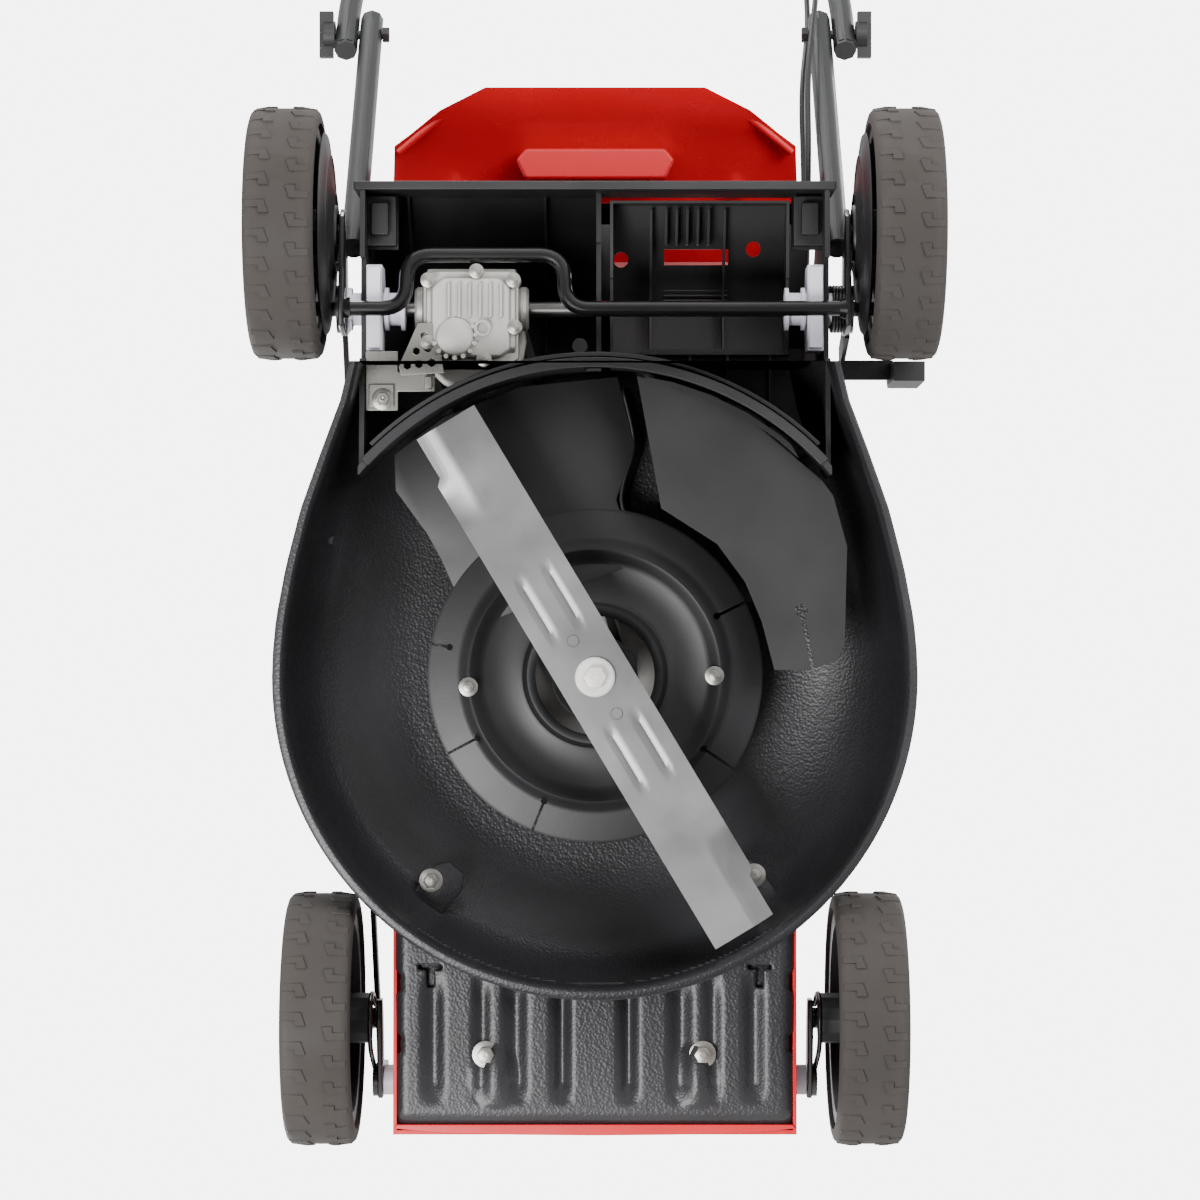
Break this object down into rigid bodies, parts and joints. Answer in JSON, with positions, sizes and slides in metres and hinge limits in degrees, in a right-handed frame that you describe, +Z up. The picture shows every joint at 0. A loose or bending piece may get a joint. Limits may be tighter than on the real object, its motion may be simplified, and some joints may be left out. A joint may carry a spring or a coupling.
{
  "type": "petrol rotary lawn mower",
  "caption": "Walk-behind petrol rotary mower with pressed steel deck, blade, rear drive, mulching plug, red covers, adjustable wheels and folding handle.",
  "frame": {"origin": "centre of the whole box, on the ground under the wheels", "axes": "+Z up, +Y to the rear along the handle, -X the operator's right"},
  "size_m": [0.54, 1.5748, 1.0668],
  "materials": {
    "deck_paint": "black hammered powder coat on pressed steel",
    "black_plastic": "satin moulded plastic",
    "plug_plastic": "satin moulded plastic, slightly warm grey",
    "tank_plastic": "blow moulded",
    "red_cover": "glossy moulded plastic",
    "die_cast": "bead blasted die casting",
    "zinc_steel": "zinc plated",
    "white_nylon": "moulded nylon",
    "shaft_steel": "ground steel",
    "blade_steel": "satin grey paint on steel",
    "black_enamel": "gloss black enamel",
    "tube_paint": "satin dark grey paint",
    "tyre": "moulded tread, slightly dusty",
    "belt_rubber": "fabric faced rubber",
    "cable_sheath": "black sheath"
  },
  "bodies": {
    "chassis": {"deck": "deck_paint", "rear_chassis": "black_plastic", "belt_guard": "black_plastic", "mulch_plug": "plug_plastic", "front_cover": "red_cover", "gearbox_lower_case": "die_cast", "gearbox_upper_case": "die_cast", "torque_plate": "zinc_steel", "gearbox_bracket": "zinc_steel", "axle_support_left": "white_nylon", "axle_support_right": "white_nylon", "front_bush_left": "white_nylon", "front_bush_right": "white_nylon", "crankcase": "die_cast", "cylinder": "die_cast", "rocker_cover": "black_plastic", "spark_plug_boot": "black_plastic", "blower_housing": "black_plastic", "recoil_starter": "black_plastic", "starter_grip": "black_plastic", "fuel_tank": "tank_plastic", "air_filter_cover": "black_plastic", "muffler": "zinc_steel", "lower_handle_left": "tube_paint", "lower_handle_right": "tube_paint", "drive_belt": "belt_rubber", "flap_hinge_rod": "zinc_steel", "brake_cable": "cable_sheath", "drive_cable": "cable_sheath"},
    "crank": {"crankshaft": "shaft_steel", "blade_hub": "black_enamel", "blade": "blade_steel", "blade_bolt": "zinc_steel", "flywheel": "die_cast"},
    "gearbox_input": {"input_pulley": "zinc_steel"},
    "drive_axle": {"drive_shaft": "shaft_steel"},
    "rear_frame": {"rear_axle_frame": "black_enamel", "dust_cover_left": "black_plastic", "dust_cover_right": "black_plastic"},
    "front_frame": {"front_axle_frame": "black_enamel"},
    "link": {"link_rod": "black_enamel"},
    "lever": {"height_lever": "black_plastic"},
    "rear_wheel_left": {"rear_rim_left": "black_plastic", "rear_tyre_left": "tyre"},
    "rear_wheel_right": {"rear_rim_right": "black_plastic", "rear_tyre_right": "tyre"},
    "front_wheel_left": {"front_rim_left": "black_plastic", "front_tyre_left": "tyre"},
    "front_wheel_right": {"front_rim_right": "black_plastic", "front_tyre_right": "tyre"},
    "pinion_left_body": {"pinion_left": "shaft_steel"},
    "pinion_right_body": {"pinion_right": "shaft_steel"},
    "flap": {"rear_flap": "red_cover"},
    "handle": {"upper_handle": "tube_paint"},
    "brake_lever": {"brake_bail": "tube_paint"},
    "drive_lever": {"drive_bail": "tube_paint"},
    "knob_left": {"handle_knob_left": "black_plastic"},
    "knob_right": {"handle_knob_right": "black_plastic"},
    "fuel_filler": {"fuel_cap": "black_plastic"},
    "dipstick": {"oil_cap": "black_plastic"}
  },
  "joints": [
    {"name": "blade_spin", "type": "hinge", "parent": "chassis", "child": "crank", "pos_m": [0, -0.4169, 0.06], "axis": [0, 0, 1], "continuous": true},
    {"name": "input_spin", "type": "hinge", "parent": "chassis", "child": "gearbox_input", "pos_m": [0.0975, -0.1489, 0.151], "axis": [0, 0, 1], "continuous": true},
    {"name": "drive_shaft_spin", "type": "hinge", "parent": "chassis", "child": "drive_axle", "pos_m": [0, -0.1259, 0.112], "axis": [1, 0, 0], "continuous": true},
    {"name": "rear_height", "type": "hinge", "parent": "chassis", "child": "rear_frame", "pos_m": [0, -0.1259, 0.112], "axis": [1, 0, 0], "range_deg": [-30, 14]},
    {"name": "front_height", "type": "hinge", "parent": "chassis", "child": "front_frame", "pos_m": [0, -0.7379, 0.112], "axis": [1, 0, 0], "range_deg": [-34.6, 16.2]},
    {"name": "link_pivot", "type": "hinge", "parent": "rear_frame", "child": "link", "pos_m": [0.204, -0.1259, 0.184], "axis": [1, 0, 0], "range_deg": [-14.5, 30.5]},
    {"name": "lever_detent", "type": "hinge", "parent": "rear_frame", "child": "lever", "pos_m": [-0.2035, -0.1449, 0.152], "axis": [0, 1, 0], "range_deg": [-5, 0], "stiffness_Nm_per_rad": 6, "springref_deg": 2.86},
    {"name": "rear_wheel_left_spin", "type": "hinge", "parent": "rear_frame", "child": "rear_wheel_left", "pos_m": [0.243, -0.0674, 0.1], "axis": [1, 0, 0], "continuous": true},
    {"name": "rear_wheel_right_spin", "type": "hinge", "parent": "rear_frame", "child": "rear_wheel_right", "pos_m": [-0.243, -0.0674, 0.1], "axis": [1, 0, 0], "continuous": true},
    {"name": "pinion_left_spin", "type": "hinge", "parent": "rear_frame", "child": "pinion_left_body", "pos_m": [0.227, -0.1259, 0.112], "axis": [1, 0, 0], "continuous": true},
    {"name": "pinion_right_spin", "type": "hinge", "parent": "rear_frame", "child": "pinion_right_body", "pos_m": [-0.227, -0.1259, 0.112], "axis": [1, 0, 0], "continuous": true},
    {"name": "front_wheel_left_spin", "type": "hinge", "parent": "front_frame", "child": "front_wheel_left", "pos_m": [0.2145, -0.6874, 0.1], "axis": [1, 0, 0], "continuous": true},
    {"name": "front_wheel_right_spin", "type": "hinge", "parent": "front_frame", "child": "front_wheel_right", "pos_m": [-0.2145, -0.6874, 0.1], "axis": [1, 0, 0], "continuous": true},
    {"name": "flap_hinge", "type": "hinge", "parent": "chassis", "child": "flap", "pos_m": [0, -0.1109, 0.272], "axis": [1, 0, 0], "range_deg": [0, 75], "stiffness_Nm_per_rad": 0.4, "springref_deg": -20.05},
    {"name": "handle_fold", "type": "hinge", "parent": "chassis", "child": "handle", "pos_m": [0, 0.1365, 0.3808], "axis": [1, 0, 0], "range_deg": [0, 130], "deforming": ["brake_cable", "drive_cable"]},
    {"name": "brake_bail_pull", "type": "hinge", "parent": "handle", "child": "brake_lever", "pos_m": [0, 0.57423, 0.86864], "axis": [1, 0, 0], "range_deg": [-15, 0], "stiffness_Nm_per_rad": 1, "springref_deg": 34.38},
    {"name": "drive_bail_pull", "type": "hinge", "parent": "handle", "child": "drive_lever", "pos_m": [0, 0.63308, 0.86047], "axis": [1, 0, 0], "range_deg": [0, 15], "stiffness_Nm_per_rad": 1, "springref_deg": -34.38},
    {"name": "knob_left_turn", "type": "hinge", "parent": "handle", "child": "knob_left", "pos_m": [0.23, 0.1365, 0.3808], "axis": [1, 0, 0], "continuous": true},
    {"name": "knob_right_turn", "type": "hinge", "parent": "handle", "child": "knob_right", "pos_m": [-0.23, 0.1365, 0.3808], "axis": [1, 0, 0], "continuous": true},
    {"name": "fuel_cap_turn", "type": "hinge", "parent": "chassis", "child": "fuel_filler", "pos_m": [0.048, -0.2649, 0.31], "axis": [0, 0, 1], "range_deg": [0, 90]},
    {"name": "oil_cap_turn", "type": "hinge", "parent": "chassis", "child": "dipstick", "pos_m": [0.074, -0.4909, 0.228], "axis": [0, 0, 1], "continuous": true}
  ],
  "couplings": [
    {"joint": "input_spin", "follows": "blade_spin", "ratio": 0.605},
    {"joint": "front_height", "follows": "rear_height", "ratio": 1.147},
    {"joint": "link_pivot", "follows": "rear_height", "ratio": -1},
    {"joint": "pinion_left_spin", "follows": "rear_wheel_left_spin", "ratio": 4.98},
    {"joint": "pinion_right_spin", "follows": "rear_wheel_right_spin", "ratio": 4.98}
  ]
}
